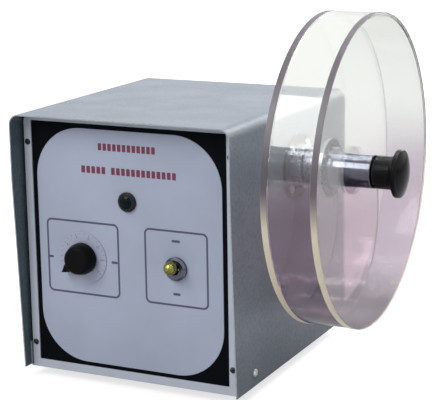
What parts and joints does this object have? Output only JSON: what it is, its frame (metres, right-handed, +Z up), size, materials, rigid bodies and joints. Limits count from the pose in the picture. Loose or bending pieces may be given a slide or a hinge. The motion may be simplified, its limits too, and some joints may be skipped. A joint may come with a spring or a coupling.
{
  "type": "friability tester",
  "caption": "Bench friability tester: hooded sheet-metal cabinet with timer, switch and lamp, and a clear acrylic drum turned by a geared motor on its side.",
  "frame": {"origin": "on the bench, below the middle of the tester's bounding box", "axes": "+X along the drum's axis towards the clamp knob, -Y out of the control panel, +Z up"},
  "size_m": [0.342, 0.293, 0.3475],
  "materials": {
    "hammered_paint": "satin hammered enamel",
    "pale_paint": "satin enamel",
    "black_panel": "satin",
    "label_pale": "satin",
    "rubber_black": "matte",
    "zinc_steel": "zinc plated",
    "ground_steel": "ground",
    "bright_chrome": "polished",
    "turned_aluminium": "turned",
    "cast_aluminium": "die cast",
    "black_metal": "satin",
    "motor_paint": "satin",
    "clear_acrylic": "polished clear",
    "knob_black": "glossy",
    "plastic_black": "matte",
    "plastic_white": "matte",
    "dial_grey": "satin",
    "lamp_red": "dark unlit",
    "brass_bright": "polished",
    "aluminium_can": "drawn",
    "fuse_glass": "clear"
  },
  "bodies": {
    "cabinet": {"base_tray": "pale_paint", "cover": "hammered_paint", "front_panel": "black_panel", "label_plate": "label_pale", "rubber_feet": "rubber_black", "foot_screws": "zinc_steel", "foot_nuts": "zinc_steel", "panel_screws": "black_metal", "small_nuts": "zinc_steel", "cover_screws": "zinc_steel", "cover_nuts": "zinc_steel", "drive_frame": "zinc_steel", "frame_screws": "zinc_steel", "frame_nuts": "zinc_steel", "wall_ring": "black_metal", "spacer_ring": "zinc_steel", "bearing_housing": "turned_aluminium", "housing_screws": "zinc_steel", "bearing_outer_rings": "ground_steel", "bearing_balls": "ground_steel", "gearhead": "cast_aluminium", "motor": "motor_paint", "gear_screws": "zinc_steel", "timer_dial": "dial_grey", "timer_body": "plastic_black", "timer_nut": "zinc_steel", "switch_body": "bright_chrome", "switch_pin": "ground_steel", "switch_nut": "bright_chrome", "lamp_body": "plastic_black", "lamp_bezel": "plastic_black", "lamp_lens": "lamp_red", "lamp_nut": "plastic_black", "mains_inlet": "plastic_black", "inlet_blades": "brass_bright", "inlet_screws": "zinc_steel", "fuse_holder": "plastic_black", "fuse_nut": "plastic_black", "terminal_strip": "plastic_white", "motor_capacitor": "aluminium_can", "capacitor_clip": "zinc_steel"},
    "drum": {"drive_shaft": "ground_steel", "shaft_coupling": "turned_aluminium", "grub_screws": "zinc_steel", "motor_shaft": "ground_steel", "bearing_inner_rings": "ground_steel", "drum_boss": "turned_aluminium", "drum_back": "clear_acrylic", "drum_rim": "clear_acrylic", "drum_baffle": "clear_acrylic", "drum_hub": "bright_chrome"},
    "drum_lid": {"drum_cover": "clear_acrylic"},
    "clamp": {"clamp_knob": "knob_black", "knob_insert": "brass_bright", "knob_washer": "rubber_black"},
    "timer": {"timer_spindle": "ground_steel", "timer_knob": "knob_black"},
    "switch": {"switch_lever": "brass_bright"},
    "fuse": {"fuse_cap": "plastic_black", "fuse_link": "fuse_glass"}
  },
  "joints": [
    {"name": "drum_spin", "type": "hinge", "parent": "cabinet", "child": "drum", "pos_m": [0.13555, 0, 0.201], "axis": [1, 0, 0], "continuous": true},
    {"name": "cover_release", "type": "slide", "parent": "drum", "child": "drum_lid", "axis": [1, 0, 0], "range_m": [0, 0.04]},
    {"name": "knob_release", "type": "slide", "parent": "drum", "child": "clamp", "axis": [1, 0, 0], "range_m": [0, 0.08]},
    {"name": "timer_turn", "type": "hinge", "parent": "cabinet", "child": "timer", "pos_m": [-0.10445, -0.1197, 0.12295], "axis": [0, 1, 0], "range_deg": [0, 252]},
    {"name": "switch_flip", "type": "hinge", "parent": "cabinet", "child": "switch", "pos_m": [-0.00645, -0.1223, 0.12295], "axis": [1, 0, 0], "range_deg": [0, 40]},
    {"name": "fuse_pull", "type": "slide", "parent": "cabinet", "child": "fuse", "axis": [0, 1, 0], "range_m": [0, 0.032]}
  ],
  "couplings": [
    {"joint": "knob_release", "follows": "cover_release", "ratio": 2}
  ]
}
